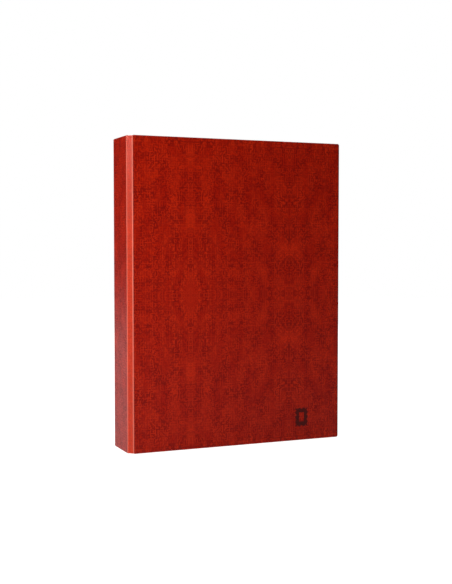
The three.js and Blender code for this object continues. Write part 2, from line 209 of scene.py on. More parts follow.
def covering_sheet(name, crease, boarded_after, near, far, texture_at, edge_at=None):
    """The red sheet across one crease, turned in over the boards at the top and the bottom.

    near and far are its reach across the crease, and texture_at is added to w in its texture. With
    edge_at, the sheet also goes round the fore-edge at that place, with rounded corners."""
    outward = 1 if boarded_after else -1
    stations = stations_across(near, far)
    if edge_at is not None:  # the fore-edge's own corners take the place of the last station
        stations = stations[:-1] if outward > 0 else stations[:0:-1]
    contours = []
    for w in stations:
        share = board_share(w, boarded_after)
        thickness = HINGE_THICKNESS + (HEM - HINGE_THICKNESS) * share
        lift = STRIP_INSET * (1 - share)
        contours.append([(w, lift, *row) for row in hem_profile(thickness)])

    points, uvs = [], []

    def add(w, depth, z, u_developed, z_developed):
        points.append(crease.point(w, depth, z))
        uvs.append((texture_at + u_developed, z_developed))
        return len(points) - 1

    rows = []  # one for each step of the hem's profile, running along the sheet's border
    for step in range(len(contours[0])):
        low = [add(w, depth, lift + inset, w, developed)
               for w, lift, inset, depth, developed in (c[step] for c in contours)]
        high = [add(w, depth, HEIGHT - lift - inset, w, HEIGHT - developed)
                for w, lift, inset, depth, developed in (c[step] for c in contours)]
        corner = []
        if edge_at is not None:
            _, _, inset, depth, developed = contours[-1][step]
            radius = max(CORNER_RADIUS - inset, 0.3 * MM)
            for level, sign in ((0, 1), (HEIGHT, -1)):
                arc = []
                for turn in range(CORNER_STEPS + 1):
                    angle = turn / CORNER_STEPS * math.pi / 2
                    across, up = radius * (1 - math.sin(angle)), radius * (1 - math.cos(angle))
                    arc.append(add(edge_at - outward * (inset + across), depth,
                                   level + sign * (inset + up),
                                   edge_at - outward * (developed + across),
                                   level + sign * (developed + up)))
                corner += arc if sign > 0 else arc[::-1]
        rows.append((low, corner, high))

    faces = []
    low, corner, high = rows[0]
    for i in range(len(low) - 1):
        faces.append((low[i], low[i + 1], high[i + 1], high[i]))
    if corner:
        faces.append((low[-1], *corner, high[-1]))
    for (low, corner, high), (next_low, next_corner, next_high) in zip(rows, rows[1:]):
        if corner:
            line = [*low, *corner, *high[::-1]]
            next_line = [*next_low, *next_corner, *next_high[::-1]]
            pairs = [(line, next_line)]
        else:
            pairs = [(low, next_low), (high[::-1], next_high[::-1])]
        for line, next_line in pairs:
            for i in range(len(line) - 1):
                faces.append((line[i], next_line[i], next_line[i + 1], line[i + 1]))
    if edge_at is not None and outward < 0:
        faces = [face[::-1] for face in faces]
    piece = make_mesh(name, points, faces, uvs)
    modify(piece, "SOLIDIFY", thickness=SHEET_DRAWN, offset=-1)
    crisp(piece)
    return piece


def lining_depth(w, boarded_after):
    """Depth of the lining's hidden side: on the board, or down in the gutter of the hinge."""
    return HINGE_THICKNESS + (HEM - HINGE_THICKNESS) * board_share(w, boarded_after)


def lining_sheet(name, crease, boarded_after, near, far, texture_at):
    """The paper lining across one crease, dipping into the gutter between the boards."""
    stations = stations_across(near, far)
    points, uvs = [], []
    for z in (LINING_MARGIN, HEIGHT - LINING_MARGIN):
        for layer in (0, LINING):
            for w in stations:
                points.append(crease.point(w, lining_depth(w, boarded_after) + layer, z))
                uvs.append((texture_at + w, z))
    count = len(stations)
    hidden_low, shown_low, hidden_high, shown_high = (range(n * count, (n + 1) * count) for n in range(4))
    faces = []
    for i in range(count - 1):
        for a, b in ((shown_low, hidden_low), (hidden_high, shown_high),
                     (hidden_low, hidden_high), (shown_high, shown_low)):
            faces.append((a[i], a[i + 1], b[i + 1], b[i]))
    for i, order in ((0, 1), (count - 1, -1)):
        end = (hidden_low[i], hidden_high[i], shown_high[i], shown_low[i])
        faces.append(end[::order])
    piece = make_mesh(name, points, faces, uvs)
    crisp(piece)
    return piece


BEND_REACH = 0.55 * MM  # from a crease to the points either side of it that fold works out


def fold(piece, crease, body_before, body_after):
    """Bakes a sheet's placement into its mesh, and works out the points either side of the crease, which it
    doesn't use.
    """
    start, end = crease.point(-BEND_REACH, 0, 0), crease.point(BEND_REACH, 0, 0)
    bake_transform(piece)
    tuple(start)
    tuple(end)


# --- Node materials -----------------------------------------------------------------------------
class Graph:
    """A material's nodes, written as expressions."""

    def __init__(self, name, **sockets):
        self.material = bpy.data.materials.new(name)
        self.material.use_nodes = True
        self.tree = self.material.node_tree
        self.shader = self.tree.nodes["Principled BSDF"]
        for key, value in sockets.items():
            self.shader.inputs[key.replace("_", " ")].default_value = value

    def feed(self, socket, value):
        if isinstance(value, bpy.types.NodeSocket):
            self.tree.links.new(value, socket)
        else:
            socket.default_value = value

    def node(self, kind, inputs=None, output=0, **settings):
        node = self.tree.nodes.new("ShaderNode" + kind)
        for key, value in settings.items():
            setattr(node, key, value)
        for key, value in (inputs or {}).items():
            self.feed(node.inputs[key], value)
        return node.outputs[output]

    def math(self, operation, *values, clamp=False):
        return self.node("Math", dict(enumerate(values)), operation=operation, use_clamp=clamp)

    def add(self, *values):
        total = values[0]
        for value in values[1:]:
            total = self.math("ADD", total, value)
        return total

    def times(self, *values):
        total = values[0]
        for value in values[1:]:
            total = self.math("MULTIPLY", total, value)
        return total

    def step(self, value, low, high, at_low=0.0, at_high=1.0):
        """A smooth step from at_low, where value is low, to at_high, where it is high."""
        inputs = {0: value, 1: low, 2: high, 3: at_low, 4: at_high}
        return self.node("MapRange", inputs, interpolation_type="SMOOTHSTEP")

    def vector(self, x, y, z=0.0):
        return self.node("CombineXYZ", {0: x, 1: y, 2: z})

    def split(self, vector):
        node = self.tree.nodes.new("ShaderNodeSeparateXYZ")
        self.feed(node.inputs[0], vector)
        return node.outputs

    def scaled(self, vector, x, y, z=1.0):
        return self.node("VectorMath", {0: vector, 1: (x, y, z)}, operation="MULTIPLY")

    def noise(self, vector, size, detail=2.0, roughness=0.5, distortion=0.0, colour=False):
        inputs = {"Vector": vector, "Scale": 1 / size, "Detail": detail, "Roughness": roughness,
                  "Distortion": distortion}
        return self.node("TexNoise", inputs, output=1 if colour else 0)

    def mix(self, factor, first, second, blend="MIX"):
        inputs = {0: factor, 6: first, 7: second}
        return self.node("Mix", inputs, output=2, data_type="RGBA", blend_type=blend)

    def colour(self, value):
        self.feed(self.shader.inputs["Base Color"], value)

    def roughness(self, value):
        self.feed(self.shader.inputs["Roughness"], value)

    def bump(self, height, distance, strength=1.0):
        inputs = {"Height": height, "Distance": distance, "Strength": strength}
        self.feed(self.shader.inputs["Normal"], self.node("Bump", inputs))

    def millimetres(self, stored=None):
        """Places in millimetres: the stored map's, or else the piece's own space."""
        if stored:
            return self.scaled(self.node("UVMap", uv_map=stored), 1000, 1000)
        return self.scaled(self.node("TexCoord", output=3), 1000, 1000, 1000)


# Across the sheet, the texture counts from the spine's outer plane.
FRONT_AT = PLACE["front_fold_cover_side"].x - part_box("spine_covering")[0].x
FRONT_SPINE_AT = FRONT_AT - FRONT_STRIP.length
BACK_SPINE_AT = FRONT_SPINE_AT - SPINE.length
BACK_AT = BACK_SPINE_AT - BACK_STRIP.length

# What follows is in millimetres, as the covering's material is.
AXIS_ACROSS = 66.6  # the print is mirrored about these lines, as a hide opened like a book
AXIS_UP = 159.0
MIRROR_PERIOD = 113.0
RIB_PITCH = 2.6  # of the printed weave
LOBE_PITCH = 64.0  # of the pale lobes up the mirror line
FRONT_FORE_EDGE = (FRONT_AT + FRONT.length) / MM
SPINE_MIDDLE = (FRONT_SPINE_AT - SPINE.length / 2) / MM
STRIP_NEAR = SPINE.length / 2 / MM  # the hinge strips' reach from the spine's middle
STRIP_FAR = STRIP_NEAR + FRONT_STRIP.length / MM
STAMP_AT = (195.0, 25.0)  # a generic printed mark on the front cover
STAMP_HALF = (7.5, 10.0)  # half its width and height: three perforations across and four up
STAMP_WINDOW = (2.9, 5.0)  # half the width and height of the blank inside it
PERFORATION_PITCH = 5.0
PERFORATION_EDGE = (1.1, 1.35)  # the radii between which a perforation's print fades in


def stamp_print(g, across, up):
    """Where the generic mark is printed: the perforated frame of a blank stamp."""
    x = g.math("ABSOLUTE", g.math("SUBTRACT", across, STAMP_AT[0]))
    z = g.math("ABSOLUTE", g.math("SUBTRACT", up, STAMP_AT[1]))

    def within(half_x, half_z):
        out = g.math("MAXIMUM", g.math("SUBTRACT", x, half_x), g.math("SUBTRACT", z, half_z))
        return g.step(out, -0.1, 0.1, 1, 0)

    def bites(away, half, along, first):
        gap = g.math("SUBTRACT", away, half)
        beside = g.math("PINGPONG", g.add(along, first), PERFORATION_PITCH / 2)
        reach = g.math("SQRT", g.add(g.times(gap, gap), g.times(beside, beside)))
        return g.step(reach, *PERFORATION_EDGE)

    return g.times(within(*STAMP_HALF), g.math("SUBTRACT", 1.0, within(*STAMP_WINDOW)),
                   bites(x, STAMP_HALF[0], z, PERFORATION_PITCH / 2),
                   bites(z, STAMP_HALF[1], x, 0.0))


def dark_flecks(g, place, flowing, ladder):
    """A dense field of short dark marks that lean along the level lines of a slow field, and that
    run upright or level like a weave over most of the sheet."""
    # Curled marks: the field's level lines, broken up by a fine noise.
    field = g.noise(g.scaled(flowing, 1, 0.8), 34, 1)
    rows = g.math("SINE", g.times(field, 118))
    breaks = g.noise(place, 1.6, 1, 0.5)
    worms = g.add(g.times(rows, 0.055), breaks)

    # Woven marks: dark where an upright and a level streak cross, on faint ribs.
    across, up, _ = g.split(place)
    ribs_up = g.times(g.math("SINE", g.times(across, 2 * math.pi / RIB_PITCH)), 0.07)
    ribs_level = g.times(g.math("SINE", g.times(up, 2 * math.pi / RIB_PITCH)), 0.07)
    upright = g.noise(g.scaled(place, 1, 0.4), 1.4, 1)
    level = g.noise(g.scaled(place, 0.4, 1), 1.4, 1)
    woven = g.math("MINIMUM", g.add(upright, 0.07, ribs_up), g.add(level, 0.1, ribs_level))

    # The two kinds share the sheet in patches, and fade in others and on the pale lobes.
    weave_share = g.step(g.noise(place, 15, 1), 0.34, 0.46)
    mixed = g.add(worms, g.times(weave_share, g.math("SUBTRACT", woven, worms)))
    thinning = g.step(g.noise(g.scaled(place, 1, 0.6), 11, 2), 0.3, 0.66, 0.5, 1.0)
    thinning = g.times(thinning, g.math("SUBTRACT", 1.0, g.times(ladder, 0.4)))
    return g.times(g.step(mixed, 0.45, 0.56), thinning)


def clouded_ground(g, place, flowing, ladder):
    """How light the ground is: tall soft clouds, wavy upright bars beside the mirror line, and pale
    lobes up it."""
    across, up, _ = g.split(place)
    clouds = g.step(g.noise(g.scaled(flowing, 1, 0.4), 12, 3, 0.6), 0.3, 0.7)
    bars = g.step(g.noise(g.scaled(flowing, 1, 0.16), 5.5, 1), 0.36, 0.6)
    near_line = g.times(g.step(across, 22, 34, 1, 0), g.step(up, 45, 62, 1, 0))
    barred = g.add(clouds, g.times(near_line, g.math("SUBTRACT", bars, clouds)))
    return g.math("ADD", barred, g.times(ladder, 0.5), clamp=True)


def covering_material():
    """Red printed paper with a lizard grain: small dark flecks, mirrored about two lines, over a
    softly clouded ground crossed by faint threads."""
    shade, bright, thread, ink = ((0.35, 0.0075, 0.0011, 1), (0.48, 0.0165, 0.0024, 1),
                                  (0.52, 0.028, 0.006, 1), (0.15, 0.0014, 0.0003, 1))
    # Of the next four colours, the first is the printed mark; then come a painted highlight for the hinge
    # strips, a pale colour that is partly wear and partly painted highlight, and a painted shade for the
    # fore-edge.
    mark, strip_highlight_paint, wear_and_highlight_paint, fore_edge_shade_paint = ((0.03, 0.0035, 0.003, 1), (0.78, 0.085, 0.04, 1),
                                       (0.82, 0.24, 0.17, 1), (0.12, 0.002, 0.0006, 1))
    g = Graph("covering_red_grain", Specular_IOR_Level=0.13)
    across, up, _ = g.split(g.millimetres("Developed"))
    mirrored_across = g.math("PINGPONG", g.math("SUBTRACT", across, AXIS_ACROSS), MIRROR_PERIOD)
    mirrored_up = g.math("ABSOLUTE", g.math("SUBTRACT", up, AXIS_UP))
    place = g.vector(mirrored_across, mirrored_up)
    warp = g.node("VectorMath", {0: g.noise(place, 13, 1, colour=True), 1: (0.5, 0.5, 0.5)},
                  operation="SUBTRACT")
    flowing = g.node("VectorMath", {0: place, 1: g.scaled(warp, 9, 9)}, operation="ADD")
    lobes = g.math("COSINE", g.times(g.add(mirrored_up, -12), 2 * math.pi / LOBE_PITCH))
    ladder = g.times(g.step(mirrored_across, 3, 8, 1, 0), g.step(lobes, -0.1, 0.9))

    # The print: the ground, its threads, the flecks and the mark.
    threads_up = g.noise(g.scaled(place, 1, 0.035), 1.7, 1)
    threads_across = g.noise(g.scaled(place, 0.05, 1), 1.7, 1)
    threads = g.step(g.math("MAXIMUM", threads_up, threads_across), 0.52, 0.75)
    fleck = dark_flecks(g, place, flowing, ladder)
    ground = g.mix(clouded_ground(g, place, flowing, ladder), shade, bright)
    ground = g.mix(g.times(threads, 0.22), ground, thread)
    inked = g.mix(g.times(fleck, 0.8), ground, ink)
    inked = g.mix(g.times(stamp_print(g, across, up), 0.85), inked, mark)

    # The sheet is smoother over the hinge strips and painted paler there, as a painted highlight
    # for the light that they catch. Painted highlight lines run along the folds, the top and bottom
    # edges are lightened in patches, partly wear and partly painted highlight, and painted shade
    # darkens the fore-edge.
    off_spine = g.math("ABSOLUTE", g.math("SUBTRACT", across, SPINE_MIDDLE))
    strip = g.times(g.step(off_spine, STRIP_NEAR - 0.5, STRIP_NEAR + 0.5),
                    g.step(off_spine, STRIP_FAR - 0.5, STRIP_FAR + 0.5, 1, 0))
    # Painted highlight: the hinge strips are painted paler, where they catch the light.
    strip_highlit = g.mix(g.times(strip, 0.38), inked, strip_highlight_paint)
    off_crease = g.math("MINIMUM", *(g.math("ABSOLUTE", g.math("SUBTRACT", off_spine, at))
                                     for at in (STRIP_NEAR, STRIP_FAR)))
    off_edge = g.math("MINIMUM", up, g.math("SUBTRACT", HEIGHT / MM, up))
    patchy = g.step(g.noise(place, 9, 2), 0.4, 0.62)
    # The pale lines along the folds are painted highlight; the patches along the top and bottom edges are
    # partly wear and partly painted highlight.
    wear_and_crease_highlight = g.math("MAXIMUM", g.times(g.step(off_edge, -0.2, 1.0, 1, 0), patchy),
                 g.step(off_crease, 0.2, 1.0, 1, 0))
    worn_and_highlit = g.mix(g.times(wear_and_crease_highlight, 0.55), strip_highlit, wear_and_highlight_paint)
    # Painted shade: the colour darkens towards the front cover's fore-edge.
    off_fore_edge = g.math("SUBTRACT", FRONT_FORE_EDGE, across)
    g.colour(g.mix(g.step(off_fore_edge, 0.5, 2.2, 0.55, 0), worn_and_highlit, fore_edge_shade_paint))

    g.roughness(g.add(0.27, g.times(fleck, 0.1), g.times(g.noise(place, 6, 3), 0.1),
                      g.times(strip, -0.14)))
    grain = g.noise(place, 0.45, 2)
    relief = g.add(g.times(fleck, -0.6), g.times(threads, 0.35), g.times(grain, 0.35))
    g.bump(relief, 0.05 * MM, 0.5)
    return g.material


def lining_material():
    """Pale paper with long fibres."""
    g = Graph("lining_paper", Specular_IOR_Level=0.3)
    place = g.millimetres("Developed")
    fibres = g.noise(g.scaled(place, 1, 0.25), 0.9, 4, 0.6, 0.6)
    blotches = g.noise(place, 24, 3)
    ground = g.mix(g.step(blotches, 0.35, 0.7), (0.66, 0.62, 0.54, 1), (0.72, 0.69, 0.62, 1))
    g.colour(g.mix(g.step(fibres, 0.52, 0.7, 0, 0.35), ground, (0.5, 0.45, 0.36, 1)))
    g.roughness(g.add(0.72, g.times(fibres, 0.15)))
    g.bump(g.add(fibres, g.noise(place, 0.3, 2)), 0.03 * MM, 0.5)
    return g.material


def board_material():
    """Grey pressed board with flecks of waste paper, its cut edges in layers."""
    g = Graph("grey_board", Specular_IOR_Level=0.25)
    place = g.millimetres()
    fleck = g.noise(place, 0.7, 3, 0.6)
    layers = g.noise(g.scaled(place, 0.1, 3, 0.1), 1, 2)
    ground = g.mix(layers, (0.24, 0.21, 0.165, 1), (0.34, 0.3, 0.24, 1))
    g.colour(g.mix(g.step(fleck, 0.6, 0.75), ground, (0.12, 0.1, 0.08, 1)))
    g.roughness(g.add(0.85, g.times(fleck, 0.1)))
    g.bump(g.add(fleck, layers), 0.06 * MM, 0.6)
    return g.material


def steel_material(name, tint, stretch, roughness, wear):
    """Nickel-plated steel with fine drawing marks along the way that it was worked."""
    g = Graph(name, Metallic=1.0)
    place = g.millimetres()
    drawn = g.noise(g.scaled(place, *stretch), 0.25, 2, 0.6)
    tarnish = g.noise(place, 7, 4, 0.6)
    dull = tuple(0.72 * channel for channel in tint)
    g.colour(g.mix(g.step(tarnish, 0.45, 0.72, 0, wear), (*tint, 1), (*dull, 1)))
    spread = g.add(g.times(drawn, 0.12), g.times(g.step(tarnish, 0.4, 0.7), wear * 0.25))
    g.roughness(g.add(roughness, spread))
    g.bump(drawn, 0.01 * MM, 0.35)
    return g.material


def card_material():
    """Black stock card with a fine felt mark and pale scuffs."""
    g = Graph("stock_card_black", Specular_IOR_Level=0.35)
    place = g.millimetres()
    fibres = g.noise(g.scaled(place, 1, 1, 0.4), 0.5, 4, 0.65, 0.8)
    cloud = g.noise(place, 30, 3)
    ground = g.mix(cloud, (0.009, 0.009, 0.0105, 1), (0.017, 0.0165, 0.018, 1))
    g.colour(g.mix(g.step(fibres, 0.58, 0.75, 0, 0.4), ground, (0.045, 0.045, 0.048, 1)))
    g.roughness(g.add(0.62, g.times(fibres, 0.2)))
    g.bump(fibres, 0.04 * MM, 0.5)
    return g.material


def film_material():
    """Clear stiff film with a faint haze and flow lines from its rolling."""
    g = Graph("pocket_film_clear", Transmission_Weight=0.9, IOR=1.49)
    place = g.millimetres()
    flow = g.noise(g.scaled(place, 0.05, 1, 1), 3, 2)
    haze = g.noise(place, 12, 3)
    g.colour(g.mix(g.step(haze, 0.3, 0.7), (0.86, 0.89, 0.92, 1), (0.94, 0.96, 0.98, 1)))
    g.roughness(g.add(0.05, g.times(g.step(haze, 0.45, 0.8), 0.08)))
    g.bump(flow, 0.15 * MM, 0.25)
    return g.material


COVERING = covering_material()
LINING_PAPER = lining_material()
GREY_BOARD = board_material()
NICKEL = (0.66, 0.655, 0.63)
STEEL_PLATE = steel_material("steel_plate", NICKEL, (4, 4, 0.08), 0.34, 0.5)
STEEL_WIRE = steel_material("steel_wire", (0.72, 0.715, 0.695), (1, 1, 1), 0.2, 0.35)
STEEL_RIVET = steel_material("steel_rivet", (0.6, 0.595, 0.57), (1, 1, 1), 0.3, 0.8)
CARD = card_material()
FILM = film_material()


def dress(piece, material):
    piece.data.materials.clear()
    piece.data.materials.append(material)
    return piece


# --- The case's sheets --------------------------------------------------------------------------
HALF_STRIP = BACK_STRIP.length / 2
HALF_SPINE = SPINE.length / 2
BACK_CREASE = Crease(BACK, BACK_STRIP)
BACK_SPINE_CREASE = Crease(BACK_STRIP, SPINE)
FRONT_SPINE_CREASE = Crease(SPINE, FRONT_STRIP)
FRONT_CREASE = Crease(FRONT_STRIP, FRONT)

SHEETS = (
    ("back", BACK_CREASE, False, -BACK.length, HALF_STRIP, BACK_AT, "back_cover", "back_hinge"),
    ("spine_back_half", BACK_SPINE_CREASE, True, -HALF_STRIP, HALF_SPINE, BACK_SPINE_AT,
     "back_hinge", "spine"),
    ("spine_front_half", FRONT_SPINE_CREASE, False, -HALF_SPINE, HALF_STRIP, FRONT_SPINE_AT,
     "spine", "front_hinge"),
    ("front", FRONT_CREASE, True, -HALF_STRIP, FRONT.length, FRONT_AT, "front_hinge", "front_cover"),
)
STANDS_FOR = {  # the panels whose CAD covering and lining each sheet takes the place of
    "back": ("back",),
    "spine_back_half": ("spine", "back_hinge"),
    "spine_front_half": ("spine", "front_hinge"),
    "front": ("front",),
}
for name, crease, boarded_after, near, far, texture_at, body_before, body_after in SHEETS:
    edge_at = {"back": near, "front": far}.get(name)
    covering = covering_sheet(f"covering_{name}", crease, boarded_after, near, far, texture_at, edge_at)
    dress(covering, COVERING)
    if edge_at is not None:
        near = near + LINING_MARGIN if edge_at == near else near
        far = far - LINING_MARGIN if edge_at == far else far
    lining = lining_sheet(f"lining_{name}", crease, boarded_after, near, far, texture_at)
    dress(lining, LINING_PAPER)
    fold(covering, crease, body_before, body_after)
    fold(lining, crease, body_before, body_after)
    for part in STANDS_FOR[name]:
        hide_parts(f"{part}_covering")
        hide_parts(f"{part}_lining")

for part in ("back", "spine", "front"):
    dress(frame["nodes"][f"{part}_board"], GREY_BOARD)


# --- The ring mechanism -------------------------------------------------------------------------
PLATE_LOW, PLATE_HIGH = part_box("ring_plate")
PLATE_MIDDLE = (PLATE_LOW.x + PLATE_HIGH.x) / 2
PLATE_HALF = (PLATE_HIGH.x - PLATE_LOW.x) / 2
PLATE_FLOOR = PLATE_HIGH.y  # the back cover's inner face
PLATE_CROWN = PLATE_HIGH.y - PLATE_LOW.y
PLATE_RIM = 2.25 * MM  # height of its long edges over the cover
PLATE_FLANGE = 1.2 * MM  # height of the straight part of those edges
PLATE_METAL = 1 * MM
CUTOUT_NEAR, CUTOUT_FAR = 3 * MM, 7.5 * MM  # the wires' slots, from the plate's middle line
CUTOUT_HALF = 2.25 * MM  # half their length up the plate
POST_LOW, POST_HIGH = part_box("ring_1_straight_half")
WIRE = (POST_HIGH.z - POST_LOW.z) / 2
POST_X = POST_HIGH.x - WIRE
ARC_RADIUS = POST_X - ARC_CENTRE.x
RING_Z = [sum(corner.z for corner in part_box(f"{ring}_straight_half")) / 2 for ring in RING_NAMES]
TIP_GAP = 0.3 * MM  # between the two halves of a closed ring
RING_FOOT = 2 * MM  # height at which the wires start, inside the plate
QUARTER_STEPS = 12


def above_cover(x, height, z):
    """A point of the mechanism: x across, and its height above the back cover's inner face."""
    return Vector((x, PLATE_FLOOR - height, z))


def arch(x):
    """Height of the plate's outer face over its middle, at a distance x to one side."""
    t = (x / PLATE_HALF + 1) / 2
    return PLATE_RIM + (PLATE_CROWN - PLATE_RIM) * 4 * t * (1 - t)


def plate_piece():
    """The arched plate, one sheet of steel with a slot at each side of each ring."""
    one_side = [0, 1.5 * MM, CUTOUT_NEAR, 5 * MM, CUTOUT_FAR, 9 * MM, 10 * MM, 10.6 * MM, PLATE_HALF]
    across = sorted({round(side * x, 7) for side in (-1, 1) for x in one_side})
    up = sorted({PLATE_LOW.z, PLATE_LOW.z + 1 * MM, PLATE_HIGH.z - 1 * MM, PLATE_HIGH.z,
                 *(z + side * CUTOUT_HALF for z in RING_Z for side in (-1, 1))})
    section = [(-PLATE_HALF, 0.0), (-PLATE_HALF, PLATE_FLANGE)]
    section += [(x, arch(x)) for x in across]
    section += [(PLATE_HALF, PLATE_FLANGE), (PLATE_HALF, 0.0)]
    points = [above_cover(PLATE_MIDDLE + x, height, z) for z in up for x, height in section]
    faces = []
    count = len(section)
    for row in range(len(up) - 1):
        middle_z = (up[row] + up[row + 1]) / 2
        at_ring = any(abs(middle_z - z) < CUTOUT_HALF for z in RING_Z)
        for i in range(count - 1):
            middle_x = abs(section[i][0] + section[i + 1][0]) / 2
            on_top = min(section[i][1], section[i + 1][1]) >= PLATE_RIM
            if at_ring and on_top and CUTOUT_NEAR < middle_x < CUTOUT_FAR:
                continue
            corner = row * count + i
            faces.append((corner, corner + 1, corner + 1 + count, corner + count))
    piece = make_mesh("ring_plate_arched", points, faces)
    modify(piece, "SOLIDIFY", thickness=PLATE_METAL, offset=-1, use_even_offset=True)
    modify(piece, "BEVEL", width=0.2 * MM, segments=2, angle_limit=math.radians(40))
    crisp(piece)
    return piece


def tube(name, path, radius, sides=24, chamfer=0.3 * MM):
    """A round wire along a path that lies in the plane of one ring, chamfered at its last end."""
    rings = []  # each a centre, the way forward and a radius
    for index, point in enumerate(path):
        after = path[min(index + 1, len(path) - 1)]
        before = path[max(index - 1, 0)]
        forward = (after - before).normalized()
        rings.append((point, forward, radius))
    point, forward, _ = rings[-1]
    rings[-1] = (point - forward * chamfer, forward, radius)
    rings.append((point, forward, radius - chamfer))
    points = []
    for point, forward, size in rings:
        side = Vector((0, 0, 1))
        other = forward.cross(side).normalized()
        for step in range(sides):
            angle = 2 * math.pi * step / sides
            points.append(point + (side * math.cos(angle) + other * math.sin(angle)) * size)
    faces = [tuple(range(sides))[::-1]]
    for ring in range(len(rings) - 1):
        for step in range(sides):
            a, b = ring * sides + step, ring * sides + (step + 1) % sides
            faces.append((a, b, b + sides, a + sides))
    last = (len(rings) - 1) * sides
    faces.append(tuple(range(last, last + sides)))
    piece = make_mesh(name, points, faces)
    crisp(piece)
    return piece


def bezier(a, b, c, d, steps):
    for step in range(1, steps + 1):
        t = step / steps
        yield a * (1 - t) ** 3 + b * 3 * t * (1 - t) ** 2 + c * 3 * t * t * (1 - t) + d * t ** 3


def arc_point(angle, z):
    reach = Vector((math.cos(angle), -math.sin(angle), 0)) * ARC_RADIUS
    return Vector((ARC_CENTRE.x, ARC_CENTRE.y, z)) + reach


def ring_halves(ring, z):
    """The two half rings: a straight post on the leaves' side, a bulging wire on the spine's."""
    quarter = math.pi / 2 - TIP_GAP / 2 / ARC_RADIUS
    turns = [quarter * step / QUARTER_STEPS for step in range(QUARTER_STEPS + 1)]
    arc_height = PLATE_FLOOR - ARC_CENTRE.y
    post = [above_cover(POST_X, height, z) for height in (RING_FOOT, 6 * MM, arc_height - 4 * MM)]
    post += [arc_point(turn, z) for turn in turns]
    straight = tube(f"{ring}_post", post, WIRE)

    curved_x = ARC_CENTRE.x - ARC_RADIUS
    foot_x = 2 * PLATE_MIDDLE - POST_X
    bend_low, bend_high = 6.5 * MM, 21 * MM
    middle = (bend_low + bend_high) / 2
    wire = [above_cover(foot_x, RING_FOOT, z), above_cover(foot_x, bend_low, z)]
    wire += bezier(above_cover(foot_x, bend_low, z), above_cover(foot_x, middle, z),
                   above_cover(curved_x, middle, z), above_cover(curved_x, bend_high, z), 14)
    wire.append(above_cover(curved_x, arc_height - 3 * MM, z))
    wire += [arc_point(math.pi - turn, z) for turn in turns]
    curved = tube(f"{ring}_hoop", wire, WIRE)
    return straight, curved


def turned(name, profile, x, z, sides=40):
    """A piece turned round an axis square to the back cover: profile rows are [radius, height]."""
    points = [above_cover(x, profile[0][1], z)]
    for radius, height in profile[1:-1]:
        for step in range(sides):
            angle = 2 * math.pi * step / sides
            points.append(above_cover(x + radius * math.cos(angle), height,
                                      z + radius * math.sin(angle)))
    points.append(above_cover(x, profile[-1][1], z))
    rings = len(profile) - 2
    faces = []
    for step in range(sides):
        after = (step + 1) % sides
        faces.append((0, 1 + step, 1 + after))
        for ring in range(rings - 1):
            a, b = 1 + ring * sides + step, 1 + ring * sides + after
            faces.append((a, a + sides, b + sides, b))
        last = 1 + (rings - 1) * sides
        faces.append((last + step, len(points) - 1, last + after))
    piece = make_mesh(name, points, faces)
    crisp(piece)
    return piece


def rivet_piece(name, node):
    """A rivet: a low domed head outside the cover, a shank, and a rolled rim inside the plate."""
    low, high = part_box(node)
    outside, clinched = PLATE_FLOOR - high.y, PLATE_FLOOR - low.y
    face = outside + 0.6 * MM
    rim = clinched - 0.75 * MM
    head, shank = (high.x - low.x) / 2, 2 * MM
    profile = [(0, outside)]
    profile += [(head * math.sin(a), face + (outside - face) * math.cos(a) ** 1.5)
                for a in (0.35, 0.7, 1.0, 1.25, 1.42, math.pi / 2)]
    profile += [(shank, face), (shank, rim)]
    profile += [(3.1 * MM, rim), (3.25 * MM, rim + 0.25 * MM), (3.0 * MM, clinched - 0.1 * MM),
                (2.5 * MM, clinched), (1.9 * MM, clinched - 0.15 * MM)]
    profile += [(1.4 * MM, rim + 0.1 * MM), (0, rim)]
    return turned(name, profile, (low.x + high.x) / 2, (low.z + high.z) / 2)


def lever_piece(name, joint, away):
    """A thumb lever: a heel under the arch and a flared tab outside it, with a curled lip."""
    pivot = PLACE[joint]
    root, flare, length, corner = 8 * MM, 14 * MM, 13 * MM, 4 * MM
    thickness, lip = 1.25 * MM, 0.6 * MM
    rise = math.pi / 6
    flare_steps, corner_steps = 6, 8
    side = [(root / 2, -3 * MM), (root / 2, 0.5 * MM), (root / 2 + 0.3 * MM, 1.5 * MM)]
    for step in range(flare_steps + 1):
        t = step / flare_steps
        side.append((root / 2 + (flare - root) / 2 * smoothstep(0, 1, t), (2 + 5 * t) * MM))
    for step in range(corner_steps + 1):
        angle = step / corner_steps * math.pi / 2
        side.append((flare / 2 - corner + corner * math.cos(angle),
                     length - corner + corner * math.sin(angle)))
    points, faces = [], []
    for half_width, reach in side:
        bent = max(0.0, reach)
        curl = lip * smoothstep(7 * MM, length, reach)
        out = bent * math.cos(rise) - curl * math.sin(rise) + min(0.0, reach)
        up = bent * math.sin(rise) + curl * math.cos(rise)
        for x in (-half_width, half_width):
            points.append(Vector((pivot.x + x, pivot.y - up, pivot.z + away * out)))
    for i in range(len(side) - 1):
        a = 2 * i
        quad = (a, a + 1, a + 3, a + 2)
        faces.append(quad if away > 0 else quad[::-1])
    piece = make_mesh(name, points, faces)
    modify(piece, "SOLIDIFY", thickness=thickness, offset=0)
    modify(piece, "BEVEL", width=0.3 * MM, segments=3, angle_limit=math.radians(40))
    crisp(piece)
    return piece


